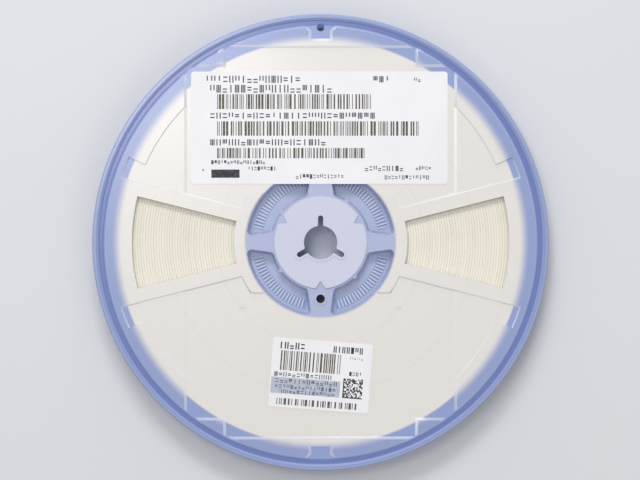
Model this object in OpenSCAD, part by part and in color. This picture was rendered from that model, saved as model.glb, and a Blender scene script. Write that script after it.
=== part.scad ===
// Reel of surface-mount carrier tape: two like plastic mouldings joined at mid-height,
// the wound paper tape between them, and two paper labels on the upper flange.
// The reel lies flat on one flange: Z is the arbor's axis, and Z = 0 is the lower rim.

/* [Flange] */
// Diameter over each flange
flange_d = 178; // [172:0.5:184]
// Clear width between the two flanges
inside_w = 9.2; // [8.6:0.1:10.4]
// Thickness of a flange at its lowest level
panel_t = 1.2; // [1:0.05:1.6]
// Width of the rim lip's top
lip_w = 1.6; // [1.2:0.1:2.4]
// Height of the rim lip above the panels
lip_rise = 0.8; // [0.75:0.05:1.2]
// Width of the flat channel inside the rim lip
channel_w = 1.3; // [0.8:0.1:2]
// Width of the raised band's top, inside the channel
band_w = 9; // [8:0.1:10]
// Height of the raised areas above the panels
land_rise = 0.5; // [0.3:0.05:0.55]
// Width of the sloping edges of the lip, the band and the recess
edge_slope = 1.1; // [0.6:0.1:1.4]
// Width of the sloping edges of the window frames and the hub ring
frame_slope = 0.6; // [0.4:0.1:0.9]
// Rounding of the rim
rim_round = 0.5; // [0.2:0.05:0.7]

/* [Windows] */
// Width of the band's plain edge outside a window
window_margin = 1.3; // [0.8:0.1:4]
// Angle between the two straight edges of a window
window_angle = 28.4; // [20:0.2:30]
// Width of the frame along a window's straight edge
frame_w = 5.7; // [4:0.1:7]

/* [Label recess] */
// Room beside the main label in its recess
room_x = 2.1; // [1:0.1:3]
// Room above the main label in its recess
room_y = 1.7; // [1:0.1:2]
// Width of the recess's stepped ends
recess_end_x = 73.8; // [60:0.2:80]
// Length of the recess over its stepped ends
recess_end_y = 151.4; // [146:0.2:153]
// Height of the side panels above the recess's floor
side_step = 0.15; // [0.1:0.05:0.25]
// Reach of the thin pads beside the window frames into the band
pad_reach = 6.5; // [4:0.1:7.5]
// Angle that each thin pad covers beyond its frame
pad_angle = 5.8; // [4:0.2:8]

/* [Rim notches and holes] */
// Width of a rim notch at its closed end
notch_w = 7.2; // [6:0.1:9]
// Depth of a rim notch from the flange's edge
notch_depth = 9.5; // [8:0.1:11]
// Length of the flare at a rim notch's mouth
notch_flare = 2.4; // [1:0.1:3]
// Diameter of the hole near the rim
rim_hole_d = 3; // [2:0.1:3.4]
// Distance of that hole from the flange's edge
rim_hole_in = 5.2; // [4.8:0.1:6.4]
// Diameter of the drive hole in a spoke
drive_hole_d = 3.4; // [2.4:0.1:3.8]
// Distance of the drive hole from the arbor's axis
drive_hole_r = 22; // [21.6:0.1:24]
// Width of the small lips round the holes
lip_round_w = 0.9; // [0.6:0.1:1.1]
// Height of those lips, and depth of the ejector marks
fine_step = 0.2; // [0.1:0.05:0.2]
// Diameter of the ejector marks
mark_d = 2.8; // [2:0.1:3.6]
// Distance of the ejector marks from the arbor's axis
mark_r = 40.2; // [38:0.1:44]

/* [Hub] */
// Diameter of the drum that the tape is wound on
drum_d = 60; // [59:0.2:61.4]
// Thickness of the drum's wall at a pocket's mouth
hub_wall = 0.9; // [0.7:0.1:1.4]
// Thickness of the hub's other walls and of the pockets' floors
skin_t = 1.2; // [1:0.1:1.5]
// Radius of a pocket's inner wall at its mouth
pocket_r = 18.7; // [18.5:0.1:20]
// Corner radius of a pocket at its mouth
pocket_corner = 1.9; // [1.6:0.1:2.4]
// How far a pocket's walls lean in from mouth to floor
pocket_draft = 1; // [0.6:0.1:1.3]
// Width of a side spoke at the drum
side_spoke_w = 4.8; // [4:0.1:6]
// Width of an upper or lower spoke at the drum
long_spoke_w = 7; // [6.6:0.1:9]
// How much wider a spoke is at the disc than at the drum
spoke_flare = 3; // [2:0.1:4]
// Diameter of the raised disc round the arbor hole
disc_d = 36; // [34:0.2:36.4]
// Width of the raised ring between the drum and the windows
ring_w = 3.8; // [3:0.1:5]
// Height of the chord lines where that ring ends
ring_chord = 19.5; // [17:0.5:22]
// Radius of the small lugs on the pockets' inner walls
lug_r = 1; // [0.8:0.1:1.2]
// Height of the lugs over those walls
lug_h = 0.9; // [0.5:0.1:1.2]

/* [Pocket ribs] */
// Number of fine ribs on a pocket's floor
rib_count = 21; // [15:1:22]
// Angle between neighbouring ribs
rib_angle = 3; // [2.4:0.1:3.1]
// Width of a rib
rib_w = 0.5; // [0.4:0.05:0.7]
// Height of a rib
rib_h = 0.4; // [0.2:0.05:0.6]
// Length of a rib
rib_len = 3.7; // [3:0.1:5]
// Distance of the ribs' outer ends from the drum's outside
rib_gap = 3; // [2.8:0.1:4]

/* [Arbor hole] */
// Diameter of the arbor hole
bore_d = 13; // [12.8:0.05:13.4]
// Width of a key slot
key_w = 2; // [1.6:0.1:2.2]
// Diameter over the ends of the key slots
key_d = 21; // [20:0.1:21.8]
// Radius that joins a key slot to the hole
key_root = 0.7; // [0.4:0.05:0.75]
// Depth of the vee notches in the disc's edge
vee_depth = 3; // [2:0.1:3.4]
// Opening angle of a vee notch
vee_angle = 68; // [50:1:80]

/* [Tape] */
// Width of the carrier tape
tape_w = 8; // [7.6:0.05:8.2]
// Thickness of one turn with its cover film
turn_t = 1.05; // [0.95:0.01:1.08]
// Number of turns
turns = 47; // [40:1:47]
// Depth of the grooves between the turns
groove = 0.2; // [0.1:0.02:0.3]
// Angle of the outermost turn's end
end_at = 75; // [40:5:140]
// Angle that the outermost turn leaves bare
end_bare = 26; // [20:1:40]

/* [Labels] */
// Width of the main label
label_x = 100; // [90:0.5:101]
// Height of the main label
label_y = 43.8; // [40:0.2:44]
// Corner radius of the main label
label_corner = 1.2; // [0.6:0.1:2]
// Distance of the main label's lower edge from the arbor's axis
label_edge = 22.8; // [22:0.1:23.4]
// Sideways place of the main label
label_shift = -0.5; // [-0.9:0.1:0.9]
// Width of the price label
price_x = 39; // [34:0.5:42]
// Height of the price label
price_y = 27; // [24:0.5:28]
// Corner radius of the price label
price_corner = 0.8; // [0.4:0.1:1.4]
// Distance of the price label's middle from the arbor's axis
price_at = 51.9; // [49:0.1:54]
// Turn of the price label
price_turn = -4.4; // [-6:0.2:6]
// Thickness of both labels
paper_t = 0.12; // [0.08:0.01:0.2]

/* [End strip] */
// Width of the strip that holds the tape's end
strip_w = 6; // [4:0.1:7]
// Length of the strip on the outermost turn, and again on the turn below
strip_len = 6; // [4:0.2:8]
// Thickness of the strip
strip_t = 0.1; // [0.06:0.01:0.15]

/* [Hidden] */
$fn = 96;

eps = 0.01;                              // how far a cut runs past a face
sink = 0.3;                              // how far an added form reaches into what carries it
corner_lap = 1.02;                       // how much rounder a pocket's corners are

// Heights in a half: 0 is its joint with the other half, and Z points to its outer face
inner_z = inside_w / 2;
panel_z = inner_z + panel_t;
land_z = panel_z + land_rise;
lip_z = panel_z + lip_rise;
joint_z = lip_z;                         // height of the joint above the lower rim

flange_r = flange_d / 2;
drum_r = drum_d / 2;
disc_r = disc_d / 2;
bore_r = bore_d / 2;
channel_r2 = flange_r - lip_w - edge_slope;
channel_r1 = channel_r2 - channel_w;
band_r2 = channel_r1 - edge_slope;
band_r1 = band_r2 - band_w;
window_r1 = drum_r + ring_w;
window_r2 = band_r1 - window_margin;
window_half = window_angle / 2;
pad_r = band_r1 + pad_reach;
side_gap = (inside_w - tape_w) / 2;      // between a flange and the tape's edge
recess_x = label_x + 2 * room_x;
recess_y = 2 * (label_edge + label_y + room_y);

// A pocket's corners turn about four centres, which its draft leaves in place
mouth_r = drum_r - hub_wall;
hub_r = drum_r - hub_wall / 2;           // where the flange joins the hub
pocket_h = panel_z - skin_t;
core_r1 = pocket_r + pocket_corner;
core_r2 = mouth_r - pocket_corner;
lean = atan(spoke_flare / 2 / (mouth_r - pocket_r));
side_in = flank_point(side_spoke_w, core_r1);
side_out = flank_point(side_spoke_w, core_r2);
long_in = swap(flank_point(long_spoke_w, core_r1));
long_out = swap(flank_point(long_spoke_w, core_r2));

// Point at radius r on the line beside a spoke of width w that the corner centres lie on
function flank_point(w, r) =
    let (d = w / 2 * cos(lean) + mouth_r * sin(lean) + pocket_corner)
    d * [sin(lean), cos(lean)] + sqrt(r * r - d * d) * [cos(lean), -sin(lean)];
function swap(p) = [p.y, p.x];
function polar(r, a) = r * [cos(a), sin(a)];

module four_quarters() {
    for (mx = [0, 1], my = [0, 1])
        mirror([mx, 0, 0]) mirror([0, my, 0]) children();
}

// A trapezoid section carried from one point to another, w0 to each side below and w1 above
module lean_bar(from, to, w0, w1, h) {
    run = to - from;
    translate(from) rotate([90, 0, atan2(run.y, run.x) + 90])
        linear_extrude(norm(run)) polygon([[-w0, 0], [w0, 0], [w1, h], [-w1, h]]);
}

// A block over a rectangle whose four walls lean outwards by slope as they rise
module slope_block(x0, x1, y0, y1, slope, h) {
    cx = (x0 + x1) / 2;
    cy = (y0 + y1) / 2;
    wx = (x1 - x0) / 2;
    wy = (y1 - y0) / 2;
    intersection() {
        lean_bar([x0 - slope, cy], [x1 + slope, cy], wy, wy + slope, h);
        lean_bar([cx, y0 - slope], [cx, y1 + slope], wx, wx + slope, h);
    }
}

// Part of a turned ring, from one angle on
module sector(from, angle, section) {
    rotate(from) rotate_extrude(angle = angle) polygon(section);
}

// ---- One moulding, lying joint side down ----

// The flange outside the hub, up to its rim lip
module flange_plate() {
    rotate_extrude()
        polygon([[hub_r, inner_z], [flange_r - rim_round, inner_z], [flange_r, inner_z + rim_round],
                 [flange_r, lip_z - rim_round], [flange_r - rim_round, lip_z],
                 [flange_r - lip_w, lip_z], [channel_r2, panel_z], [hub_r, panel_z]]);
}

// The space of one rim notch, with sloping walls and a flared mouth
module notch_space() {
    y0 = flange_r - notch_depth;
    flare_y = channel_r1 - notch_flare;
    slope_block(-notch_w / 2, notch_w / 2, y0, channel_r2, edge_slope, land_rise + eps);
    for (s = [-1, 1])
        translate([s * notch_w / 2, flare_y]) rotate(-s * 45)
            slope_block(min(-s, 0) * notch_w / 2, max(-s, 0) * notch_w / 2,
                        0, 2 * notch_flare, edge_slope, land_rise + eps);
}

// Raised band inside the channel, cut by the label recess, the notches and the thin pads
module band() {
    difference() {
        rotate_extrude()
            polygon([[band_r1 - frame_slope, panel_z - sink], [channel_r1, panel_z - sink],
                     [channel_r1, panel_z], [band_r2, land_z], [band_r1, land_z],
                     [band_r1 - frame_slope, panel_z]]);
        translate([0, 0, panel_z]) {
            slope_block(-recess_x / 2, recess_x / 2, -recess_y / 2, recess_y / 2,
                        edge_slope, land_rise + eps);
            slope_block(-recess_end_x / 2, recess_end_x / 2, -recess_end_y / 2, recess_end_y / 2,
                        edge_slope, land_rise + eps);
            for (a = [0, 180]) rotate(a) notch_space();
            four_quarters()
                sector(window_half, asin(frame_w / pad_r) + pad_angle,
                       [[band_r1 - edge_slope, 0], [pad_r, 0],
                        [pad_r + frame_slope, land_rise + eps],
                        [band_r1 - edge_slope, land_rise + eps]]);
        }
    }
}

// Everything on one side of a line along X at distance w, with a sloping edge
module frame_side(w) {
    reach = band_r2;
    h = land_rise + sink;
    translate([0, w - reach / 2, panel_z - sink])
        lean_bar([0, 0], [reach, 0], reach / 2, reach / 2, sink);
    translate([0, 0, panel_z])
        rotate([90, 0, 90]) linear_extrude(reach)
            polygon([[w - reach, 0], [w, 0], [w - frame_slope, land_rise], [w - reach, land_rise]]);
}

// The raised frame round one window, from the hub to the band
module frame() {
    intersection() {
        rotate(window_half) frame_side(frame_w);
        mirror([0, 1, 0]) rotate(window_half) frame_side(frame_w);
        cylinder(r = pad_r + edge_slope, h = land_z);
    }
}

// The raised ring round the hub, which stops at a chord above and below
module hub_ring() {
    r2 = drum_r + ring_w;
    intersection() {
        rotate_extrude()
            polygon([[0, panel_z - sink], [r2, panel_z - sink], [r2, panel_z],
                     [r2 - frame_slope, land_z], [0, land_z]]);
        translate([0, 0, panel_z - sink])
            lean_bar([-r2, 0], [r2, 0], ring_chord, ring_chord, sink + land_rise + eps);
    }
}

// The side panels stand a little above the label recess between them
module side_panels() {
    difference() {
        translate([0, 0, panel_z - sink]) cylinder(r = band_r1, h = sink + side_step);
        translate([0, 0, panel_z])
            lean_bar([0, -flange_r], [0, flange_r], recess_x / 2,
                     recess_x / 2 + edge_slope, side_step + eps);
        translate([0, 0, panel_z - sink - eps])
            lean_bar([0, -flange_r], [0, flange_r], recess_x / 2, recess_x / 2, sink + 2 * eps);
    }
}

// What lies on the inner side of a pocket's flank, w0 beyond the line between two corners
module flank_side(from, to, w0, w1, h) {
    run = to - from;
    translate(from) rotate([90, 0, atan2(run.y, run.x) + 90])
        translate([0, 0, -drum_r]) linear_extrude(3 * drum_r)
            polygon([[-w0, 0], [drum_r, 0], [drum_r, h], [-w1, h]]);
}

// The space of one pocket, with every wall moved out by grow. Its corners are a little rounder
// than its walls ask for, so that they cross the walls and don't just touch them.
module pocket_space(grow, z0, z1) {
    h = z1 - z0;
    c0 = pocket_corner + grow - pocket_draft * (panel_z - z0) / pocket_h;
    c1 = pocket_corner + grow - pocket_draft * (panel_z - z1) / pocket_h;
    translate([0, 0, z0]) {
        intersection() {
            rotate_extrude()
                polygon([[core_r1 - c0, 0], [core_r2 + c0, 0], [core_r2 + c1, h], [core_r1 - c1, h]]);
            linear_extrude(h)
                polygon([side_in / 2, side_in, side_out, side_out * 2,
                         long_out * 2, long_out, long_in, long_in / 2]);
        }
        intersection() {
            rotate_extrude()
                polygon([[core_r1, 0], [core_r2, 0], [core_r2, h], [core_r1, h]]);
            flank_side(side_in, side_out, c0, c1, h);
            flank_side(long_out, long_in, c0, c1, h);
        }
        for (p = [side_in, side_out, long_in, long_out])
            translate(p) cylinder(r1 = c0 * corner_lap, r2 = c1 * corner_lap, h = h);
    }
}

// Round hole with three key slots, in plan, with its outline moved out by grow
module arbor_plan(grow) {
    slot_r = key_w / 2 + grow;
    end_y = key_d / 2 - key_w / 2;
    circle(bore_r + grow);
    for (a = [0, 120, 240]) rotate(a) {
        translate([-slot_r, 0]) square([2 * slot_r, end_y]);
        translate([0, end_y]) circle(slot_r);
    }
}

// What the root radii take away between the hole and its slots. They cross both a little.
module key_roots() {
    apart = 0.95 * key_root;
    x = key_w / 2 + apart;
    y = sqrt(pow(bore_r + apart, 2) - x * x);
    for (a = [0, 120, 240]) rotate(a) difference() {
        polygon([[0, 0], [-x, y], [x, y]]);
        for (s = [-1, 1]) translate([s * x, y]) circle(key_root);
    }
}

module disc() {
    difference() {
        translate([0, 0, panel_z - sink]) cylinder(r = disc_r, h = sink + land_rise);
        for (a = [30, 150, 270]) rotate(a) translate([disc_r - vee_depth, 0, panel_z])
            linear_extrude(land_rise + eps) {
                w = 2 * vee_depth;
                polygon([[0, 0], [w, w * tan(vee_angle / 2)], [w, -w * tan(vee_angle / 2)]]);
            }
    }
}

// Drum, spokes, pockets and disc, with the arbor hole and the drive hole still closed
module hub() {
    difference() {
        union() {
            difference() {
                cylinder(r = drum_r, h = panel_z);
                translate([0, 0, -eps]) cylinder(r = drum_r - skin_t, h = inner_z + eps);
            }
            four_quarters() pocket_space(hub_wall - 2 * eps, 0, panel_z - sink);
            disc();
            linear_extrude(panel_z) arbor_plan(skin_t);
            linear_extrude(land_z + fine_step) arbor_plan(lip_round_w);
            translate([0, -drive_hole_r, inner_z])
                cylinder(d = drive_hole_d + 2 * lip_round_w, h = panel_t + fine_step);
        }
        four_quarters() pocket_space(0, skin_t, land_z);
    }
    for (a = [58, 142, 215, 315])
        translate(polar(pocket_r + lug_h - lug_r, a)) cylinder(r = lug_r, h = panel_z - eps);
    pocket_ribs();
}

module pocket_ribs() {
    middle = 43.5;                       // the ribs sit a little nearer the side spoke
    translate([0, 0, skin_t - sink]) linear_extrude(rib_h + sink)
        four_quarters() for (i = [0 : rib_count - 1])
            rotate(middle + (i - (rib_count - 1) / 2) * rib_angle)
                translate([drum_r - rib_gap - rib_len, -rib_w / 2]) square([rib_len, rib_w]);
}

// The flange with everything that stands on it
module flange() {
    difference() {
        union() {
            flange_plate();
            difference() {
                union() {
                    band();
                    for (a = [0, 180]) rotate(a) frame();
                    hub_ring();
                    side_panels();
                }
                cylinder(r = hub_r, h = land_z + eps);
            }
        }
        for (a = [0, 180])
            sector(a - window_half, window_angle,
                   [[window_r1, inner_z - eps], [window_r2, inner_z - eps],
                    [window_r2, land_z + eps], [window_r1, land_z + eps]]);
        translate([0, flange_r - rim_hole_in, inner_z - eps])
            cylinder(d = rim_hole_d, h = panel_t + 2 * eps);
        four_quarters() translate(concat(polar(mark_r, 41.3), panel_z - fine_step))
            cylinder(d = mark_d, h = 2 * fine_step);
    }
}

module half() {
    difference() {
        union() {
            flange();
            hub();
        }
        translate([0, 0, -eps]) linear_extrude(lip_z) {
            arbor_plan(0);
            key_roots();
        }
        translate([0, -drive_hole_r, -eps]) cylinder(d = drive_hole_d, h = lip_z);
    }
}

module upper_half() {
    color([0.82, 0.86, 0.93]) translate([0, 0, joint_z]) half();
}

// The other half is the same moulding, turned over about the Y axis
module lower_half() {
    color([0.78, 0.83, 0.92]) translate([0, 0, joint_z]) rotate([0, 180, 0]) half();
}

// ---- The wound tape ----

roll_r1 = drum_r;
roll_r2 = roll_r1 + turns * turn_t;

// Edge of one turn on the side s, from its inner groove to its outer one
function turn_edge(i, s) =
    let (r = roll_r1 + i * turn_t, z = tape_w / 2)
    [[r, s * (z - groove)], [r + groove, s * z], [r + turn_t - groove, s * z]];

module tape_roll() {
    upper = [for (i = [0 : turns - 1]) each turn_edge(i, 1)];
    lower = [for (i = [0 : turns - 1]) each turn_edge(i, -1)];
    z = tape_w / 2 - groove;
    count = len(lower);
    color([0.93, 0.91, 0.85]) translate([0, 0, joint_z]) difference() {
        rotate_extrude()
            polygon(concat(upper, [[roll_r2, z], [roll_r2, -z]],
                           [for (i = [count - 1 : -1 : 0]) lower[i]]));
        sector(end_at, end_bare,
               [[roll_r2 - turn_t, -tape_w], [roll_r2 + turn_t, -tape_w],
                [roll_r2 + turn_t, tape_w], [roll_r2 - turn_t, tape_w]]);
    }
}

// Strip of adhesive film from the outermost turn, over its end, down to the turn below
module end_strip() {
    high = roll_r2;
    low = roll_r2 - turn_t;
    drop = acos(low / high);             // angle that the strip spans as it leaves the step
    hold = strip_len / high * 180 / PI;
    steps = 6;
    path = concat([for (i = [0 : steps]) [high, end_at - hold * (1 - i / steps)]],
                  [for (i = [0 : steps]) [low, end_at + drop + hold * i / steps]]);
    count = len(path);
    clear = 1 / cos(hold / steps / 2);   // keeps the flats between the points off the tape
    color([0.9, 0.88, 0.78]) translate([0, 0, joint_z - strip_w / 2]) linear_extrude(strip_w)
        polygon(concat([for (p = path) polar(p[0] * clear, p[1])],
                       [for (i = [count - 1 : -1 : 0]) polar(path[i][0] + strip_t, path[i][1])]));
}

// ---- Labels ----

module rounded_sheet(x, y, r) {
    linear_extrude(paper_t) {
        square([x - 2 * r, y], center = true);
        square([x, y - 2 * r], center = true);
        for (sx = [-1, 1], sy = [-1, 1]) translate([sx * (x / 2 - r), sy * (y / 2 - r)]) circle(r);
    }
}

module main_label() {
    color("white") translate([label_shift, label_edge + label_y / 2, joint_z + panel_z])
        rounded_sheet(label_x, label_y, label_corner);
}

module price_label() {
    color("white") translate([0, -price_at, joint_z + panel_z]) rotate(price_turn)
        rounded_sheet(price_x, price_y, price_corner);
}

upper_half();
lower_half();
tape_roll();
main_label();
price_label();
end_strip();
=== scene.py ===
# A reel of surface-mount carrier tape, dressed for rendering: two milky plastic mouldings,
# the wound paper tape between them, and the printed labels on the upper flange.
import math
import random

import bmesh
import bpy
from mathutils import Matrix, Vector
from mathutils.geometry import delaunay_2d_cdt


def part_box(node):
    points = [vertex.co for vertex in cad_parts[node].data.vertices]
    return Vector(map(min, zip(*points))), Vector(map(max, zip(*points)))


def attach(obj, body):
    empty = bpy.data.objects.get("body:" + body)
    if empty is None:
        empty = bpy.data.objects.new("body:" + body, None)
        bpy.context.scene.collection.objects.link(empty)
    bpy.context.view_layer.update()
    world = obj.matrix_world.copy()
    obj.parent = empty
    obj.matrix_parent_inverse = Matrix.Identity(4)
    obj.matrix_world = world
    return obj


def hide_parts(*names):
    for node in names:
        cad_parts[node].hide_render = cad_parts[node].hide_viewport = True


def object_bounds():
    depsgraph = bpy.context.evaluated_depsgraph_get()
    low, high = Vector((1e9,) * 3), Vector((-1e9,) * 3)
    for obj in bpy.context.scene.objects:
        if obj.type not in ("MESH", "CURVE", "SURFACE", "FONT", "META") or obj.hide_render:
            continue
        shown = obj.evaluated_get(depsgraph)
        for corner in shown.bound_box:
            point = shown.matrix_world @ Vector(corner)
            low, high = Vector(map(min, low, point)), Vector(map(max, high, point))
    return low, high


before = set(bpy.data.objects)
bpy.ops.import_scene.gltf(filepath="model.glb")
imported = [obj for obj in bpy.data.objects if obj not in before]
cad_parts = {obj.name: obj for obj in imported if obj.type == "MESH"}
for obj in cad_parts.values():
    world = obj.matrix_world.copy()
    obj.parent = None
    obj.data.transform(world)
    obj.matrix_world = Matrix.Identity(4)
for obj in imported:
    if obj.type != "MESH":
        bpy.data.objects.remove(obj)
cad_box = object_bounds()

# ---------------------------------------------------------------------------------------
# The lower moulding: flange, drum and arbor hole in one shot of milky polystyrene, smooth
# on its panels and finely sparked on the disc. It is the same moulding as the upper one,
# turned over, and the two are welded drum to drum.
# ---------------------------------------------------------------------------------------
MID_Z = (cad_box[0][2] + cad_box[1][2]) / 2
DRUM_R = 0.030
TAPE_R = 0.07935
NODE_WELD = 2e-6
# The upright part of a face's normal: above the first the face counts as level, and below
# the second as fully sloping
NEARLY_LEVEL, SLOPING = 0.985, 0.92


def colour(red, green, blue):
    """A display colour in steps of 0 to 255, as the linear colour that a shader takes."""
    def linear(step):
        share = step / 255
        return share / 12.92 if share <= 0.04045 else ((share + 0.055) / 1.055) ** 2.4
    return (linear(red), linear(green), linear(blue), 1.0)


def new_material(name):
    material = bpy.data.materials.new(name)
    material.use_nodes = True
    tree = material.node_tree
    tree.nodes.clear()
    output = tree.nodes.new("ShaderNodeOutputMaterial")
    shader = tree.nodes.new("ShaderNodeBsdfPrincipled")
    tree.links.new(shader.outputs[0], output.inputs["Surface"])
    return material, tree, shader


def feed(tree, socket, value):
    """Joins a socket to an input, or sets the input to a plain value."""
    if isinstance(value, bpy.types.NodeSocket):
        tree.links.new(value, socket)
    else:
        socket.default_value = value


def add(tree, kind, values=(), **settings):
    node = tree.nodes.new(kind)
    for key, value in settings.items():
        setattr(node, key, value)
    for key, value in dict(values).items():
        feed(tree, node.inputs[key], value)
    return node


def maths(tree, operation, a, b=0.0):
    return add(tree, "ShaderNodeMath", {0: a, 1: b}, operation=operation).outputs[0]


def ramp(tree, value, start, end, low=0.0, high=1.0):
    """Runs smoothly from low to high while value goes from start to end."""
    limits = {"Value": value, "From Min": start, "From Max": end, "To Min": low, "To Max": high}
    node = add(tree, "ShaderNodeMapRange", limits, interpolation_type="SMOOTHSTEP")
    return node.outputs["Result"]


def mix(tree, share, first, second):
    node = add(tree, "ShaderNodeMix", data_type="RGBA")
    feed(tree, node.inputs["Factor"], share)
    feed(tree, node.inputs[6], first)
    feed(tree, node.inputs[7], second)
    return node.outputs[2]


def object_place(tree):
    return add(tree, "ShaderNodeTexCoord").outputs["Object"]


def noise(tree, place, scale, detail=2.0, roughness=0.5):
    values = {"Vector": place, "Scale": scale, "Detail": detail, "Roughness": roughness}
    return add(tree, "ShaderNodeTexNoise", values).outputs["Fac"]


def new_group(name, inputs, outputs):
    group = bpy.data.node_groups.new(name, "ShaderNodeTree")
    for socket, kind in inputs.items():
        group.interface.new_socket(socket, in_out="INPUT", socket_type=kind)
    for socket, kind in outputs.items():
        group.interface.new_socket(socket, in_out="OUTPUT", socket_type=kind)
    given = group.nodes.new("NodeGroupInput").outputs
    ends = group.nodes.new("NodeGroupOutput").inputs
    return group, given, ends


def reel_place_group():
    """A point's distance from the arbor's axis, its distance from the reel's mid-plane, and
    how many degrees it lies off the middle of its quarter."""
    group, _, ends = new_group("Place on the reel", {}, {
        "Radius": "NodeSocketFloat", "Level": "NodeSocketFloat", "Off middle": "NodeSocketFloat"})
    parts = add(group, "ShaderNodeSeparateXYZ", {0: object_place(group)}).outputs
    flat = add(group, "ShaderNodeCombineXYZ", {0: parts[0], 1: parts[1]}).outputs[0]
    radius = add(group, "ShaderNodeVectorMath", {0: flat}, operation="LENGTH").outputs["Value"]
    group.links.new(radius, ends["Radius"])
    level = maths(group, "ABSOLUTE", maths(group, "SUBTRACT", parts[2], MID_Z))
    group.links.new(level, ends["Level"])
    angle = maths(group, "DEGREES", maths(group, "ARCTAN2", parts[1], parts[0]))
    quarter = maths(group, "FLOORED_MODULO", angle, 90.0)
    off_middle = maths(group, "ABSOLUTE", maths(group, "SUBTRACT", quarter, 45.0))
    group.links.new(off_middle, ends["Off middle"])
    return group


HAIR_LENGTH, HAIR_WIDTH = 0.07, 0.0009
HAIR_TURNS = (0.7, 2.1)
HAIR_SHOWS = (0.70, 0.78)


def handling_wear_group():
    """Faint clouding, hairline scratches and grain, as plastic gets from being stacked."""
    group, given, ends = new_group("Handling wear", {"Strength": "NodeSocketFloat"},
                                   {"Cloud": "NodeSocketFloat", "Scratches": "NodeSocketFloat",
                                    "Relief": "NodeSocketFloat"})
    place = object_place(group)
    cloud = noise(group, place, 38.0, 4.0, 0.55)
    hairs = None
    for turn in HAIR_TURNS:
        along = add(group, "ShaderNodeMapping",
                    {"Vector": place, "Rotation": (0, 0, turn),
                     "Scale": (HAIR_LENGTH, HAIR_WIDTH, HAIR_LENGTH)}, vector_type="TEXTURE")
        line = ramp(group, noise(group, along.outputs[0], 1.0), *HAIR_SHOWS)
        hairs = line if hairs is None else maths(group, "MAXIMUM", hairs, line)
    hairs = maths(group, "MULTIPLY", hairs, given["Strength"])
    grain = maths(group, "MULTIPLY", noise(group, place, 2600.0, 1.0), 0.25)
    swing = maths(group, "SUBTRACT", cloud, 0.5)
    group.links.new(maths(group, "MULTIPLY", swing, given["Strength"]), ends["Cloud"])
    group.links.new(hairs, ends["Scratches"])
    group.links.new(maths(group, "ADD", grain, hairs), ends["Relief"])
    return group


REEL_PLACE = reel_place_group()
HANDLING_WEAR = handling_wear_group()

# The plastic takes on what lies behind it: warm white over the tape, and a pale cool blue
# in the hub and at the rim, which is deeper in the channel. The ribs carry a painted highlight and
# the pocket floor between them a painted shade; the slopes and the lip's outer edge carry a
# painted highlight, and faint rings over the tape a painted shade.
OVER_TAPE = colour(244, 240, 236)
BAND_BLUE = colour(158, 172, 217)
THIN_BLUE = colour(157, 173, 220)
CHANNEL_BLUE = colour(119, 136, 196)
LIP_BLUE = colour(146, 163, 211)
POCKET_BLUE = colour(191, 201, 231)
# Painted shade on the pocket floor between the ribs, and a painted highlight on the ribs
SHADE_BETWEEN_RIBS = colour(158, 174, 216)
RIB_HIGHLIGHT = colour(222, 232, 250)
SPOKE_BLUE = colour(188, 197, 230)
DISC_PALE = colour(219, 222, 241)
# Painted highlight for the slopes of the outer face and the lip's outer edge
EDGE_HIGHLIGHT = colour(232, 236, 248)
RING_SHADE = colour(228, 222, 216)

# Where the colour changes, as the start and the end of each change: first levels over the
# mid-plane, then radii, and last how far the ribs reach from the middle of their pocket
FLOOR_LEVEL = 0.0012
RIB_STEP = (FLOOR_LEVEL + 0.0001, FLOOR_LEVEL + 0.0003)
SPOKE_STEP = (FLOOR_LEVEL + 0.0005, 0.0055)
OUTER_FACE_STEP = (0.0056, 0.0058)
LAND_STEP = (0.00585, 0.00625)
DISC_STEP = (0.0060, 0.0062)
LIP_STEP = (0.00632, 0.0065)
SPARKED_EDGE = (0.0184, 0.0179)
RIBS_INNER_END, RIBS_OUTER_END = (0.0229, 0.0234), (0.0273, 0.0268)
HUB_EDGE = (0.0299, 0.0287)
TAPE_EDGE_UNDER_PANEL, TAPE_EDGE_UNDER_LAND = (0.0787, 0.0797), (0.0772, 0.0816)
CHANNEL_EDGE = (0.0842, 0.0848)
SLOPES_END = (0.0842, 0.0838)
LIP_HIGHLIGHT_LINE = (0.0875, 0.0879)
RIBS_SIDE_END = (33.5, 31.0)

RING_RADII = (0.0404, 0.0597)
RING_HALF_WIDTH = 0.0007


def ring_shade_lines(tree, radius):
    """Painted shade lines where two turns of the wound tape stand a little proud, as their shadow
    shows through the flange.
    """
    rings = 0.0
    for at in RING_RADII:
        off = maths(tree, "ABSOLUTE", maths(tree, "SUBTRACT", radius, at))
        ring = ramp(tree, off, RING_HALF_WIDTH, 0.0, 0.0, 0.22)
        rings = maths(tree, "ADD", rings, ring)
    return rings


def rim_colour(tree, radius, level, raised):
    """Band, channel and lip, beyond the edge of the wound tape."""
    panel = mix(tree, ramp(tree, radius, *CHANNEL_EDGE), THIN_BLUE, CHANNEL_BLUE)
    # The lip's outer part carries a painted highlight
    lip = mix(tree, ramp(tree, radius, *LIP_HIGHLIGHT_LINE, 0.0, 0.13), LIP_BLUE, EDGE_HIGHLIGHT)
    return mix(tree, ramp(tree, level, *LIP_STEP), mix(tree, raised, panel, BAND_BLUE), lip)


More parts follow.
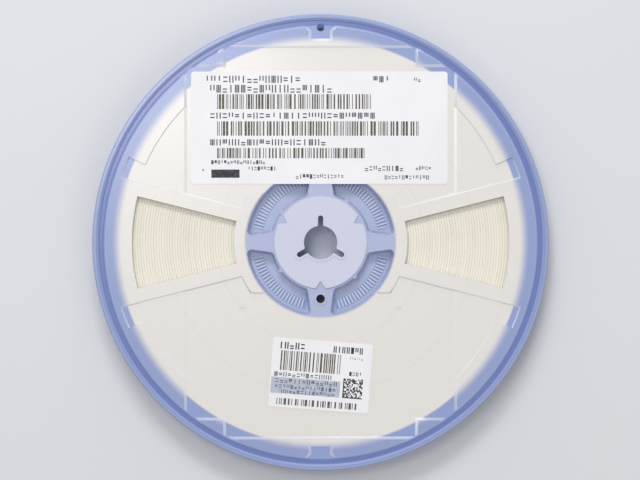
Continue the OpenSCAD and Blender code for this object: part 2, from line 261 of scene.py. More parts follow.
def hub_colour(tree, radius, level, off_middle):
    """Pocket floors with their ribs, spokes, and the disc round the arbor hole. The ribs carry a
    painted highlight and the floor between them a painted shade.
    """
    ribbed = maths(tree, "MULTIPLY", ramp(tree, radius, *RIBS_INNER_END),
                   ramp(tree, radius, *RIBS_OUTER_END))
    ribbed = maths(tree, "MULTIPLY", ribbed, ramp(tree, off_middle, *RIBS_SIDE_END))
    ribs = mix(tree, ramp(tree, level, *RIB_STEP), SHADE_BETWEEN_RIBS, RIB_HIGHLIGHT)
    hub = mix(tree, ribbed, POCKET_BLUE, ribs)
    hub = mix(tree, ramp(tree, level, *SPOKE_STEP), hub, SPOKE_BLUE)
    return mix(tree, ramp(tree, level, *DISC_STEP), hub, DISC_PALE)


def slope_highlight_share(tree, radius, level):
    """How far a point is on a slope of the outer face, which gets a painted highlight that
    makes it whiter than the level faces beside it."""
    facing = add(tree, "ShaderNodeSeparateXYZ",
                 {0: add(tree, "ShaderNodeNewGeometry").outputs["True Normal"]}).outputs[2]
    upright = maths(tree, "ABSOLUTE", facing)
    sloping = ramp(tree, upright, NEARLY_LEVEL, SLOPING, 0.0, 0.55)
    outside = maths(tree, "MULTIPLY", ramp(tree, level, *OUTER_FACE_STEP),
                    ramp(tree, radius, *SLOPES_END))
    return maths(tree, "MULTIPLY", sloping, outside)


def milky_plastic():
    material, tree, shader = new_material("milky_polystyrene")
    place = add(tree, "ShaderNodeGroup", node_tree=REEL_PLACE).outputs
    wear = add(tree, "ShaderNodeGroup", {"Strength": 0.5}, node_tree=HANDLING_WEAR).outputs
    radius, level = place["Radius"], place["Level"]
    raised = ramp(tree, level, *LAND_STEP)
    past_sharp = ramp(tree, radius, *TAPE_EDGE_UNDER_PANEL)
    past_soft = ramp(tree, radius, *TAPE_EDGE_UNDER_LAND)
    past_tape = add(tree, "ShaderNodeMix", {0: raised, 2: past_sharp, 3: past_soft}).outputs[0]
    # Painted shade: faint darker rings over the tape
    over = mix(tree, ring_shade_lines(tree, radius), OVER_TAPE, RING_SHADE)
    body = mix(tree, past_tape, over, rim_colour(tree, radius, level, raised))
    hub = hub_colour(tree, radius, level, place["Off middle"])
    body = mix(tree, ramp(tree, radius, *HUB_EDGE), body, hub)
    # Painted highlight: the slopes of the outer face are whitened
    body = mix(tree, slope_highlight_share(tree, radius, level), body, EDGE_HIGHLIGHT)
    value = maths(tree, "ADD", 1.0, maths(tree, "MULTIPLY", wear["Cloud"], 0.1))
    clouded = add(tree, "ShaderNodeHueSaturation", {"Value": value, "Color": body})
    tree.links.new(clouded.outputs[0], shader.inputs["Base Color"])
    sparked = maths(tree, "MULTIPLY", ramp(tree, radius, *SPARKED_EDGE),
                    ramp(tree, level, *DISC_STEP))
    rough = maths(tree, "ADD", 0.26, maths(tree, "MULTIPLY", wear["Scratches"], 0.15))
    rough = maths(tree, "ADD", rough, maths(tree, "MULTIPLY", sparked, 0.34))
    tree.links.new(rough, shader.inputs["Roughness"])
    sparks = noise(tree, object_place(tree), 3400.0, 2.0)
    relief = maths(tree, "ADD", wear["Relief"], maths(tree, "MULTIPLY", sparks, sparked))
    bump = add(tree, "ShaderNodeBump", {"Strength": 0.1, "Distance": 0.0001, "Height": relief})
    tree.links.new(bump.outputs[0], shader.inputs["Normal"])
    shader.inputs["IOR"].default_value = 1.59
    shader.inputs["Alpha"].default_value = 0.88
    return material


MILKY_PLASTIC = milky_plastic()


def finished(piece):
    """Applies the piece's modifiers and leaves a plain mesh."""
    graph = bpy.context.evaluated_depsgraph_get()
    mesh = bpy.data.meshes.new_from_object(piece.evaluated_get(graph))
    piece.modifiers.clear()
    piece.data = mesh
    return piece


def dressed_node(node, name, material, sharp):
    """A CAD node's own shape as one joined mesh, its level faces flat and the rest smooth
    but for edges over an angle."""
    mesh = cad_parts[node].data.copy()
    mesh.name = name
    work = bmesh.new()
    work.from_mesh(mesh)
    bmesh.ops.remove_doubles(work, verts=work.verts, dist=NODE_WELD)
    work.to_mesh(mesh)
    work.free()
    mesh.materials.clear()
    mesh.materials.append(material)
    mesh.shade_smooth()
    mesh.set_sharp_from_angle(angle=math.radians(sharp))
    for face in mesh.polygons:
        face.use_smooth = abs(face.normal.z) < NEARLY_LEVEL
    piece = bpy.data.objects.new(name, mesh)
    bpy.context.scene.collection.objects.link(piece)
    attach(piece, "root")
    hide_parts(node)
    return piece


lower = dressed_node("lower_half", "lower_moulding", MILKY_PLASTIC, sharp=20)

# ---------------------------------------------------------------------------------------
# The wound carrier tape: one ribbon of pressed paper 8 mm wide, wound on the drum turn
# after turn, so that only its edges show in the windows.
# ---------------------------------------------------------------------------------------
TURN = 0.00105
TAPE_W = 0.008
WOUND_TURNS = 45
STEPS_PER_TURN = 120
WOUND_T = TURN * 0.985
CUT_EDGE_R = 0.0002
END_AT = math.radians(75)
WELD = 1e-7


def paper_fibres_group():
    """Pressed fibres and soft patches, as on the cut edge and the face of paper."""
    group, given, ends = new_group("Paper fibres", {"Fibres per metre": "NodeSocketFloat"},
                                   {"Fibres": "NodeSocketFloat", "Patches": "NodeSocketFloat"})
    place = object_place(group)
    group.links.new(noise(group, place, given["Fibres per metre"], 5.0, 0.65), ends["Fibres"])
    group.links.new(noise(group, place, 60.0), ends["Patches"])
    return group


PAPER_FIBRES = paper_fibres_group()


def carrier_paper():
    """Ivory board, each turn a little lighter or darker than the next."""
    material, tree, shader = new_material("carrier_paper")
    place = add(tree, "ShaderNodeGroup", node_tree=REEL_PLACE)
    paper = add(tree, "ShaderNodeGroup", {"Fibres per metre": 1500.0}, node_tree=PAPER_FIBRES)
    turn = maths(tree, "DIVIDE", maths(tree, "SUBTRACT", place.outputs["Radius"], DRUM_R), TURN)
    each = add(tree, "ShaderNodeTexWhiteNoise", {"W": maths(tree, "FLOOR", turn)},
               noise_dimensions="1D").outputs["Value"]
    tone = add(tree, "ShaderNodeMix", {0: 0.5, 2: each, 3: paper.outputs["Patches"]}).outputs[0]
    body = mix(tree, tone, colour(235, 230, 216), colour(246, 242, 230))
    body = mix(tree, ramp(tree, paper.outputs["Fibres"], 0.45, 0.8, 0.0, 0.3), body,
               colour(216, 208, 188))
    tree.links.new(body, shader.inputs["Base Color"])
    shader.inputs["Roughness"].default_value = 0.82
    shader.inputs["Specular IOR Level"].default_value = 0.3
    bump = add(tree, "ShaderNodeBump", {"Strength": 0.2, "Distance": 0.00005,
                                        "Height": paper.outputs["Fibres"]})
    tree.links.new(bump.outputs[0], shader.inputs["Normal"])
    return material


CARRIER_PAPER = carrier_paper()


def new_geometry_tree(name, inputs):
    """A Geometry Nodes tree with these inputs, and the identifiers of its input sockets."""
    tree = bpy.data.node_groups.new(name, "GeometryNodeTree")
    names = {socket: tree.interface.new_socket(socket, in_out="INPUT", socket_type=kind).identifier
             for socket, kind in inputs.items()}
    tree.interface.new_socket("Geometry", in_out="OUTPUT", socket_type="NodeSocketGeometry")
    return tree, names, tree.nodes.new("NodeGroupInput").outputs


def close_geometry_tree(tree, geometry, finish):
    """Makes the instances real, gives them their material and joins them to the output."""
    real = add(tree, "GeometryNodeRealizeInstances", {0: geometry})
    dressed = add(tree, "GeometryNodeSetMaterial",
                  {"Geometry": real.outputs[0], "Material": finish})
    ends = tree.nodes.new("NodeGroupOutput")
    tree.links.new(dressed.outputs[0], ends.inputs[0])


def ribbon_tree():
    """Winds a strip with rounded edges along a flat spiral, which ends at an angle."""
    tree, names, given = new_geometry_tree("Wound ribbon", {
        "Turns": "NodeSocketFloat", "Inner radius": "NodeSocketFloat",
        "Outer radius": "NodeSocketFloat", "Thickness": "NodeSocketFloat",
        "Width": "NodeSocketFloat", "Edge rounding": "NodeSocketFloat",
        "Steps per turn": "NodeSocketInt", "Height": "NodeSocketFloat",
        "End angle": "NodeSocketFloat", "Finish": "NodeSocketMaterial"})
    spiral = add(tree, "GeometryNodeCurveSpiral",
                 {"Resolution": given["Steps per turn"], "Rotations": given["Turns"],
                  "Start Radius": given["Inner radius"], "End Radius": given["Outer radius"],
                  "Height": 0.0})
    upright = add(tree, "GeometryNodeSetCurveNormal", {"Curve": spiral.outputs[0]}, mode="Z_UP")
    strip = add(tree, "GeometryNodeCurvePrimitiveQuadrilateral",
                {"Width": given["Thickness"], "Height": given["Width"]}, mode="RECTANGLE")
    rounded = add(tree, "GeometryNodeFilletCurve",
                  {"Curve": strip.outputs[0], "Radius": given["Edge rounding"], "Count": 2},
                  mode="POLY")
    wound = add(tree, "GeometryNodeCurveToMesh",
                {"Curve": upright.outputs[0], "Profile Curve": rounded.outputs[0],
                 "Fill Caps": True})
    swept = maths(tree, "MULTIPLY", given["Turns"], 2 * math.pi)
    start = maths(tree, "SUBTRACT", given["End angle"], swept)
    spin = add(tree, "ShaderNodeCombineXYZ", {"Z": start})
    lift = add(tree, "ShaderNodeCombineXYZ", {"Z": given["Height"]})
    placed = add(tree, "GeometryNodeTransform",
                 {"Geometry": wound.outputs[0], "Translation": lift.outputs[0],
                  "Rotation": spin.outputs[0]})
    close_geometry_tree(tree, placed.outputs[0], given["Finish"])
    return tree, names


def grown(name, tree, names, values, weld, sharp):
    """Makes a plain mesh with a Geometry Nodes tree, joined up and facing outwards."""
    piece = bpy.data.objects.new(name, bpy.data.meshes.new(name))
    bpy.context.scene.collection.objects.link(piece)
    nodes = piece.modifiers.new("make", "NODES")
    nodes.node_group = tree
    for socket, value in values.items():
        nodes[names[socket]] = value
    finished(piece)
    work = bmesh.new()
    work.from_mesh(piece.data)
    bmesh.ops.remove_doubles(work, verts=work.verts, dist=weld)
    bmesh.ops.holes_fill(work, edges=[e for e in work.edges if e.is_boundary], sides=8)
    bmesh.ops.recalc_face_normals(work, faces=work.faces)
    work.to_mesh(piece.data)
    work.free()
    piece.data.shade_smooth()
    piece.data.set_sharp_from_angle(angle=math.radians(sharp))
    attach(piece, "root")
    return piece


RIBBON, RIBBON_NAMES = ribbon_tree()
wound_out = TAPE_R - 1.5 * TURN
wound = grown("wound_tape", RIBBON, RIBBON_NAMES, {
    "Turns": float(WOUND_TURNS), "Inner radius": wound_out - WOUND_TURNS * TURN,
    "Outer radius": wound_out, "Thickness": WOUND_T, "Width": TAPE_W,
    "Edge rounding": CUT_EDGE_R, "Steps per turn": STEPS_PER_TURN, "Height": MID_Z,
    "End angle": END_AT, "Finish": CARRIER_PAPER}, weld=WELD, sharp=45)
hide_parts("tape_roll")

# ---------------------------------------------------------------------------------------
# The outermost turn, where the tape's punching shows: round sprocket holes along one
# edge, and between them square-cut pockets, each with one ceramic chip in it.
# ---------------------------------------------------------------------------------------
PITCH = 0.004
CELLS_PER_TURN = 125
CELLS = CELLS_PER_TURN - 1
CELL_ANGLE = 2 * math.pi / CELLS_PER_TURN
# Neighbouring cells differ a little in radius, and their seam is closed over this distance
CELL_WELD = 2e-5
SPROCKET_R = 0.00078
SPROCKET_STEPS = 20
CELL_COLUMNS = 4
SPROCKET_Z = TAPE_W / 2 - 0.00175
POCKET_X, POCKET_Z = 0.75 * PITCH, SPROCKET_Z - 0.0035
POCKET_W, POCKET_H = 0.00105, 0.00185
BOARD_T = TURN * 0.93
CHIP_W, CHIP_H, CHIP_T, CAP_H = 0.0008, 0.0016, 0.0007, 0.0003
CHIP_SUNK = 0.0001
TINY = 1e-9


def on_roll(x, z, radius):
    """A point of the flat tape, bent round the roll from the X axis on."""
    angle = x / PITCH * CELL_ANGLE
    return (radius * math.cos(angle), radius * math.sin(angle), z)


def scratch_object(name, work):
    mesh = bpy.data.meshes.new(name)
    work.to_mesh(mesh)
    work.free()
    scratch = bpy.data.objects.new(name, mesh)
    bpy.context.scene.collection.objects.link(scratch)
    return scratch


def punched_cell():
    """One pitch of the tape, bent round the roll: a sprocket hole a quarter of the way
    along, and the pocket three quarters along, midway between two sprocket holes."""
    turn = [2 * math.pi * i / SPROCKET_STEPS for i in range(SPROCKET_STEPS)]
    hole_x = 0.25 * PITCH
    hole = [(hole_x + SPROCKET_R * math.cos(a), SPROCKET_Z + SPROCKET_R * math.sin(a))
            for a in turn]
    pocket = [(POCKET_X + sx * POCKET_W / 2, POCKET_Z + sz * POCKET_H / 2)
              for sx, sz in ((1, -1), (1, 1), (-1, 1), (-1, -1))]
    columns = [PITCH * i / CELL_COLUMNS for i in range(CELL_COLUMNS + 1)]
    rim = [(x, -TAPE_W / 2) for x in columns] + [(x, TAPE_W / 2) for x in reversed(columns)]
    outlines, edges = [], []
    for outline in (rim, hole, pocket):
        first, count = len(outlines), len(outline)
        outlines += outline
        edges += [(first + i, first + (i + 1) % count) for i in range(count)]
    corners = [Vector(p) for p in outlines]
    points, _, faces, _, _, _ = delaunay_2d_cdt(corners, edges, [], 0, TINY)
    work = bmesh.new()
    outer = [work.verts.new(on_roll(x, z, TAPE_R)) for x, z in points]
    inner = [work.verts.new(on_roll(x, z, TAPE_R - BOARD_T)) for x, z in points]
    for face in faces:
        middle = sum((points[i] for i in face), Vector((0, 0))) / len(face)
        in_hole = math.hypot(middle.x - hole_x, middle.y - SPROCKET_Z) < SPROCKET_R * 0.98
        in_pocket = (abs(middle.x - POCKET_X) < POCKET_W / 2
                     and abs(middle.y - POCKET_Z) < POCKET_H / 2)
        if not in_hole and not in_pocket:
            work.faces.new([outer[i] for i in face])
            work.faces.new([inner[i] for i in reversed(face)])
    for a, b in edges:
        upright = abs(points[a].x - points[b].x) < TINY
        at_end = upright and min(points[a].x, PITCH - points[a].x) < TINY
        if not at_end:
            work.faces.new([outer[a], inner[a], inner[b], outer[b]])
    return scratch_object("punched_cell", work)


def chip_part(name, bottom, top):
    """The stretch of one chip from bottom to top, standing in the pocket of its cell."""
    outer = TAPE_R - CHIP_SUNK
    inner = outer - CHIP_T
    work = bmesh.new()
    rings = []
    for z in (bottom, top):
        for radius, across in ((outer, -1), (outer, 1), (inner, 1), (inner, -1)):
            x = POCKET_X + across * CHIP_W / 2
            rings.append(work.verts.new(on_roll(x, POCKET_Z + z, radius)))
    for i in range(4):
        work.faces.new([rings[i], rings[(i + 1) % 4], rings[4 + (i + 1) % 4], rings[4 + i]])
    work.faces.new(rings[3::-1])
    work.faces.new(rings[4:])
    return scratch_object(name, work)


def turn_tree():
    """Sets copies of one cell side by side round the roll, back from the tape's end."""
    tree, names, given = new_geometry_tree("Outermost turn", {
        "Cell": "NodeSocketObject", "Count": "NodeSocketInt", "Cell angle": "NodeSocketFloat",
        "End angle": "NodeSocketFloat", "Shrink per cell": "NodeSocketFloat",
        "Height": "NodeSocketFloat", "Finish": "NodeSocketMaterial"})
    line = add(tree, "GeometryNodeMeshLine", {"Count": given["Count"], "Offset": (0, 0, 0)})
    points = add(tree, "GeometryNodeMeshToPoints", {"Mesh": line.outputs[0]})
    order = add(tree, "GeometryNodeInputIndex").outputs[0]
    back = maths(tree, "MULTIPLY", maths(tree, "ADD", order, 1.0), given["Cell angle"])
    angle = maths(tree, "SUBTRACT", given["End angle"], back)
    spin = add(tree, "ShaderNodeCombineXYZ", {"Z": angle})
    shrink = maths(tree, "MULTIPLY", order, given["Shrink per cell"])
    share = maths(tree, "SUBTRACT", 1.0, shrink)
    size = add(tree, "ShaderNodeCombineXYZ", {"X": share, "Y": share, "Z": 1.0})
    cell = add(tree, "GeometryNodeObjectInfo", {"Object": given["Cell"]})
    copies = add(tree, "GeometryNodeInstanceOnPoints",
                 {"Points": points.outputs[0], "Instance": cell.outputs["Geometry"],
                  "Rotation": spin.outputs[0], "Scale": size.outputs[0]})
    lift = add(tree, "ShaderNodeCombineXYZ", {"Z": given["Height"]})
    placed = add(tree, "GeometryNodeTransform", {"Geometry": copies.outputs[0],
                                                 "Translation": lift.outputs[0]})
    close_geometry_tree(tree, placed.outputs[0], given["Finish"])
    return tree, names


TURN_TREE, TURN_NAMES = turn_tree()


def round_the_roll(name, cell, finish, weld):
    """Repeats a cell's scratch object round the roll as one piece, and removes the object."""
    piece = grown(name, TURN_TREE, TURN_NAMES, {
        "Cell": cell, "Count": CELLS, "Cell angle": CELL_ANGLE, "End angle": END_AT,
        "Shrink per cell": TURN / TAPE_R / CELLS_PER_TURN, "Height": MID_Z,
        "Finish": finish}, weld, sharp=40)
    bpy.data.objects.remove(cell)


def chip_ceramic():
    material, tree, shader = new_material("chip_ceramic")
    speck = noise(tree, object_place(tree), 4000.0, 3.0)
    body = mix(tree, ramp(tree, speck, 0.3, 0.7), colour(168, 140, 112), colour(188, 162, 134))
    tree.links.new(body, shader.inputs["Base Color"])
    shader.inputs["Roughness"].default_value = 0.5
    return material


def chip_tin():
    material, tree, shader = new_material("chip_tin")
    speck = noise(tree, object_place(tree), 6000.0, 2.0)
    tree.links.new(mix(tree, speck, colour(176, 178, 180), colour(206, 207, 208)),
                   shader.inputs["Base Color"])
    tree.links.new(ramp(tree, speck, 0.3, 0.7, 0.3, 0.45), shader.inputs["Roughness"])
    shader.inputs["Metallic"].default_value = 1.0
    return material


round_the_roll("punched_turn", punched_cell(), CARRIER_PAPER, CELL_WELD)
CHIP_CERAMIC, CHIP_TIN = chip_ceramic(), chip_tin()
chip_end, cap_start = CHIP_H / 2, CHIP_H / 2 - CAP_H
for name, bottom, top, finish in (("chip_bodies", -cap_start, cap_start, CHIP_CERAMIC),
                                  ("chip_caps_low", -chip_end, -cap_start, CHIP_TIN),
                                  ("chip_caps_high", cap_start, chip_end, CHIP_TIN)):
    round_the_roll(name, chip_part("chip_part", bottom, top), finish, WELD)

# ---------------------------------------------------------------------------------------
# The cover film, clear polyester heat-sealed over the pockets of the outermost turn, and
# the short end strip of yellowed adhesive film that holds that turn's end down.
# ---------------------------------------------------------------------------------------
FILM_T = 0.00006
FILM_W = 0.0052
FILM_Z = POCKET_Z + 0.0001


def clear_film():
    material, tree, shader = new_material("cover_film")
    wear = add(tree, "ShaderNodeGroup", {"Strength": 0.6}, node_tree=HANDLING_WEAR)
    tone = maths(tree, "ADD", 0.5, wear.outputs["Cloud"])
    tree.links.new(mix(tree, tone, colour(214, 220, 226), colour(236, 240, 244)),
                   shader.inputs["Base Color"])
    rough = ramp(tree, wear.outputs["Scratches"], 0.0, 1.0, 0.14, 0.4)
    tree.links.new(rough, shader.inputs["Roughness"])
    shader.inputs["Alpha"].default_value = 0.3
    return material


def sticky_film():
    material, tree, shader = new_material("adhesive_film")
    bubbles = add(tree, "ShaderNodeTexVoronoi", {"Vector": object_place(tree), "Scale": 900.0})
    body = mix(tree, ramp(tree, bubbles.outputs["Distance"], 0.1, 0.5), colour(236, 226, 190),
               colour(226, 214, 168))
    tree.links.new(body, shader.inputs["Base Color"])
    shader.inputs["Roughness"].default_value = 0.22
    shader.inputs["Alpha"].default_value = 0.6
    return material


film_turns = CELLS / CELLS_PER_TURN
film = grown("cover_film", RIBBON, RIBBON_NAMES, {
    "Turns": film_turns, "Inner radius": TAPE_R - film_turns * TURN + FILM_T / 2,
    "Outer radius": TAPE_R + FILM_T / 2, "Thickness": FILM_T, "Width": FILM_W,
    "Edge rounding": FILM_T / 4, "Steps per turn": CELLS, "Height": MID_Z + FILM_Z,
    "End angle": END_AT, "Finish": clear_film()}, weld=WELD, sharp=45)

strip = dressed_node("end_strip", "end_strip_film", sticky_film(), sharp=30)

# ---------------------------------------------------------------------------------------
# The upper moulding, the same as the lower one, pushed down over the drum's half and
# welded to it. Its face is the one that carries the labels.
# ---------------------------------------------------------------------------------------
upper = dressed_node("upper_half", "upper_moulding", MILKY_PLASTIC, sharp=20)

# ---------------------------------------------------------------------------------------
# The two labels: smooth white paper, thermally printed and stuck flat in the recess of
# the upper flange. The print is only bars, dashes and blocks, and says nothing. It is laid
# out in millimetres from the middle of each label.
# ---------------------------------------------------------------------------------------
MAIN_MIDDLE = (-0.5, 44.7)
PRICE_MIDDLE = (0.2, -51.9)
PRICE_TURN = -4.4
INK_T = 0.00002
INK_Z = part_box("main_label")[1][2] + INK_T
INK_FOOT = -1.5 * INK_T
OVER_FIELD = 0.00001


def label_paper():
    material, tree, shader = new_material("label_paper")
    paper = add(tree, "ShaderNodeGroup", {"Fibres per metre": 1200.0}, node_tree=PAPER_FIBRES)
    body = mix(tree, ramp(tree, paper.outputs["Patches"], 0.3, 0.7), colour(240, 239, 243),
               colour(244, 243, 247))
    tree.links.new(body, shader.inputs["Base Color"])
    shader.inputs["Roughness"].default_value = 0.5
    bump = add(tree, "ShaderNodeBump", {"Strength": 0.1, "Distance": 0.00004,
                                        "Height": paper.outputs["Fibres"]})
    tree.links.new(bump.outputs[0], shader.inputs["Normal"])
    return material


def print_ink(name, tone, worn):
    """Thermal print, a little uneven where the print head ran dry."""
    material, tree, shader = new_material(name)
    dry = ramp(tree, noise(tree, object_place(tree), 700.0, 3.0), 0.4, 0.75)
    tree.links.new(mix(tree, dry, tone, worn), shader.inputs["Base Color"])
    shader.inputs["Roughness"].default_value = 0.55
    return material


LABEL_PAPER = label_paper()
BLACK_INK = print_ink("black_print", colour(40, 38, 48), colour(72, 70, 82))
BAR_INK = print_ink("bar_print", colour(84, 80, 70), colour(116, 110, 96))
GREY_INK = print_ink("grey_print", colour(182, 189, 204), colour(196, 202, 216))
SLATE_INK = print_ink("slate_print", colour(84, 92, 114), colour(122, 130, 152))
BLUE_INK = print_ink("blue_print", colour(70, 150, 220), colour(110, 176, 232))

for node in ("main_label", "price_label"):
    sheet = dressed_node(node, node + "_sheet", LABEL_PAPER, sharp=30)


class LabelPrint:
    """Gathers the printed marks of one label, in its own millimetres, as thin closed films.
    Each starts just inside the paper and ends over it, or over a printed field by a lift."""

    BAR_WIDTHS = BAR_GAPS = (1, 1, 2, 1, 2, 3)
    BAR_SHARE = 0.9
    MARK_SHARE = 0.7
    UPRIGHTS_CHANCE = 0.62
    FEET = (0.0, 0.0, 0.3)
    UPRIGHTS = ((0.0, 1.0), (0.0, 1.0), (0.0, 0.5, 1.0), (0.5, ))
    LEVEL_PAIRS = ((0.15, 0.85), (0.3, 0.7), (0.0, 0.45))

    def __init__(self, name, middle, turn):
        self.name = name
        self.work = bmesh.new()
        self.place = (Matrix.Translation((middle[0] / 1000, middle[1] / 1000, INK_Z))
                      @ Matrix.Rotation(math.radians(turn), 4, "Z"))
        self.inks = []

    def vert(self, x, y, z):
        return self.work.verts.new(self.place @ Vector((x / 1000, y / 1000, z)))

    def block(self, x0, y0, x1, y1, ink=BLACK_INK, lift=0.0):
        if ink not in self.inks:
            self.inks.append(ink)
        corners = ((x0, y0), (x1, y0), (x1, y1), (x0, y1))
        low, top = ([self.vert(x, y, z) for x, y in corners] for z in (INK_FOOT, lift))
        sides = [[low[i], low[(i + 1) % 4], top[(i + 1) % 4], top[i]] for i in range(4)]
        for verts in (top, low[::-1], *sides):
            self.work.faces.new(verts).material_index = self.inks.index(ink)

    def bars(self, x0, y0, x1, y1, seed, unit=0.33):
        """Upright bars of one to three units, with gaps of one to three units."""
        draw = random.Random(seed)
        x = x0
        while x < x1 - unit:
            wide = unit * draw.choice(self.BAR_WIDTHS) * self.BAR_SHARE
            self.block(x, y0, min(x + wide, x1), y1, BAR_INK)
            x += wide + unit * draw.choice(self.BAR_GAPS)

    def dashes(self, x0, y0, x1, y1, seed, pitch=2.0, stroke=0.44, ink=BLACK_INK, lift=0.0):
        """A row of small marks: one to three uprights of one height, or two level dashes."""
        draw = random.Random(seed)
        wide, high = pitch * self.MARK_SHARE, y1 - y0
        for i in range(int((x1 - x0) / pitch)):
            x = x0 + i * pitch
            if draw.random() < self.UPRIGHTS_CHANCE:
                low = y0 + high * draw.choice(self.FEET)
                for side in draw.choice(self.UPRIGHTS):
                    left = x + side * (wide - stroke)
                    self.block(left, low, left + stroke, y1, ink, lift)
            else:
                for step in draw.choice(self.LEVEL_PAIRS):
                    y = y0 + step * (high - stroke)
                    self.block(x, y, x + wide, y + stroke, ink, lift)

    def finish(self):
        mesh = bpy.data.meshes.new(self.name)
        self.work.to_mesh(mesh)
        self.work.free()
        for ink in self.inks:
            mesh.materials.append(ink)
        piece = bpy.data.objects.new(self.name, mesh)
        bpy.context.scene.collection.objects.link(piece)
        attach(piece, "root")


# Rows of the main label, from its upper edge down: part, quantity and lot in dashes, and
# a bar code under each
main = LabelPrint("main_label_print", MAIN_MIDDLE, 0)
main.dashes(-44.5, 17.5, -5.9, 20.3, 11, pitch=2.35)
main.dashes(21.1, 17.7, 29.3, 20.1, 12, pitch=2.3)
main.dashes(36.9, 17.9, 40.8, 19.5, 13, pitch=1.5, stroke=0.3)
main.dashes(-42.5, 13.7, 7.3, 16.7, 14, pitch=2.4)
main.bars(-39.8, 7.3, 20.7, 13.1, 21)
main.dashes(-42.5, 3.5, 22.5, 5.9, 15, pitch=2.4)
main.bars(-39.8, -3.1, 39.2, 2.5, 22)
main.dashes(-42.5, -6.9, 4.5, -4.5, 16, pitch=2.4)
main.bars(-39.8, -11.9, 17.8, -7.9, 23)
main.dashes(-42.1, -14.2, -20.4, -12.7, 17, pitch=1.25, stroke=0.3)
main.dashes(-27.8, -16.7, -16.1, -15.1, 18, pitch=1.25, stroke=0.3)
main.block(-42.1, -19.5, -31.1, -16.3)
main.block(-45.6, -16.8, -44.9, -16.1, BLUE_INK)
main.dashes(-9.1, -19.9, 10.0, -18.1, 19, pitch=1.35, stroke=0.3)
main.dashes(17.8, -16.9, 34.1, -14.8, 20, pitch=1.7, stroke=0.36)
main.dashes(37.6, -16.5, 43.9, -15.0, 24, pitch=1.25, stroke=0.3)
main.dashes(25.5, -20.3, 43.5, -18.5, 25, pitch=1.35, stroke=0.3)
main.finish()

# The price label, likewise: two short rows, a bar code with a row under it, a grey field
# with three rows over it, a last bar code, and a square code beside the field
SQUARE_CODE = 16
MODULE = 0.48
MODULE_SHARE = 0.97
CODE_X, CODE_Y = 8.8, -8.1
price = LabelPrint("price_label_print", PRICE_MIDDLE, PRICE_TURN)
price.dashes(-17.1, 9.4, -4.6, 12.0, 31, pitch=2.1, stroke=0.5)
price.dashes(4.1, 9.3, 17.1, 11.8, 32, pitch=1.7, stroke=0.44)
price.dashes(10.8, 6.8, 17.0, 8.1, 33, pitch=1.4, stroke=0.3, ink=GREY_INK)
price.bars(-16.2, 1.0, 7.5, 8.7, 34, unit=0.3)
price.dashes(-18.2, -1.5, 6.1, 0.3, 35, pitch=1.75, stroke=0.33)
price.dashes(10.9, 0.7, 16.7, 2.3, 36, pitch=1.3, stroke=0.3)
price.block(-19.3, -8.1, 7.7, -1.8, GREY_INK)
price.dashes(-17.6, -4.0, 7.3, -2.2, 37, pitch=1.75, stroke=0.36, ink=SLATE_INK, lift=OVER_FIELD)
price.dashes(-17.6, -6.1, 7.3, -4.5, 38, pitch=1.5, stroke=0.33, ink=SLATE_INK, lift=OVER_FIELD)
price.dashes(-15.0, -7.9, 7.3, -6.5, 39, pitch=1.5, stroke=0.3, ink=SLATE_INK, lift=OVER_FIELD)
price.bars(-16.6, -12.4, 14.6, -9.9, 41, unit=0.36)
module = random.Random(40)
for row in range(SQUARE_CODE):
    for column in range(SQUARE_CODE):
        if row == 0 or column == 0 or module.random() < 0.5:
            x, y = CODE_X + column * MODULE, CODE_Y + row * MODULE
            price.block(x, y, x + MODULE * MODULE_SHARE, y + MODULE * MODULE_SHARE)
price.finish()

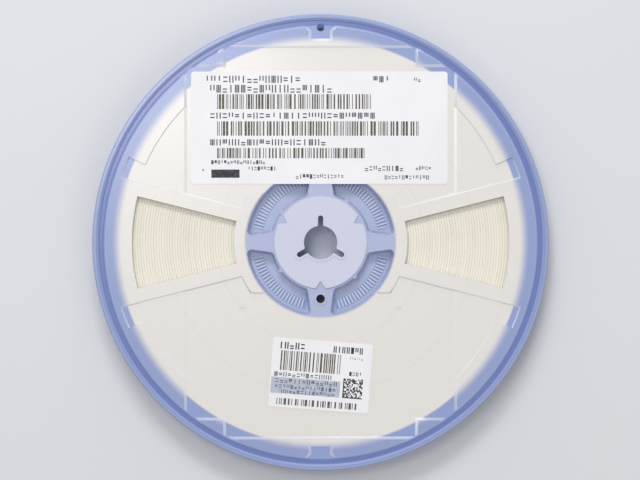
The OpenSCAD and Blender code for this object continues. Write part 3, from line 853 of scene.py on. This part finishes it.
# ---------------------------------------------------------------------------------------
# The setting: a plain pale floor just under the reel, five soft lamps, and a camera straight
# above. The edge and low lights stand where the flange's slopes mirror them to the camera,
# and the sky light where its level faces at the upper left do.
# ---------------------------------------------------------------------------------------
REACH = 3
FLOOR_DROP = 0.0001
floor_mesh = bpy.data.meshes.new("floor")
floor_mesh.from_pydata([(-REACH, -REACH, 0), (REACH, -REACH, 0), (REACH, REACH, 0),
                        (-REACH, REACH, 0)], [], [(0, 1, 2, 3)])
floor = bpy.data.objects.new("floor", floor_mesh)
bpy.context.scene.collection.objects.link(floor)
floor.location.z = -FLOOR_DROP
floor_paint, floor_tree, floor_shader = new_material("floor_paint")
mottle = noise(floor_tree, object_place(floor_tree), 6.0)
floor_tree.links.new(mix(floor_tree, mottle, colour(222, 224, 229), colour(226, 228, 232)),
                     floor_shader.inputs["Base Color"])
floor_shader.inputs["Roughness"].default_value = 0.9
floor_mesh.materials.append(floor_paint)


def soft_lamp(name, place, size, watts):
    """A rectangular lamp of a size in metres, aimed at the middle of the reel's floor."""
    lamp = bpy.data.lights.new(name, "AREA")
    lamp.shape = "RECTANGLE"
    lamp.size, lamp.size_y = size
    lamp.energy = watts
    holder = bpy.data.objects.new(name, lamp)
    holder.location = place
    holder.rotation_euler = (-Vector(place)).to_track_quat("-Z", "Y").to_euler()
    bpy.context.scene.collection.objects.link(holder)


soft_lamp("window_light", (-0.2, 0.5, 0.8), (0.6, 0.5), 1.0)
soft_lamp("sky_light", (-0.17, 0.17, 0.85), (0.2, 0.2), 1.1)
soft_lamp("edge_light", (-0.1, 1.0, 1.0), (0.6, 0.3), 7.0)
soft_lamp("low_light", (-0.1, 1.3, 0.22), (1.0, 0.12), 3.0)
soft_lamp("fill_light", (0.5, -0.7, 0.9), (1.0, 0.8), 1.5)

world = bpy.data.worlds.new("room")
world.use_nodes = True
background = world.node_tree.nodes["Background"]
background.inputs["Color"].default_value = (1, 1, 1, 1)
background.inputs["Strength"].default_value = 0.42
bpy.context.scene.world = world

camera = bpy.data.cameras.new("camera")
camera.lens = 80.9
camera.sensor_width = 36
camera.clip_start, camera.clip_end = 0.01, 10
eye = bpy.data.objects.new("camera", camera)
eye.location = (-0.00023, 0.00093, 0.5732)
bpy.context.scene.collection.objects.link(eye)
bpy.context.scene.camera = eye
bpy.context.scene.view_settings.view_transform = "Standard"
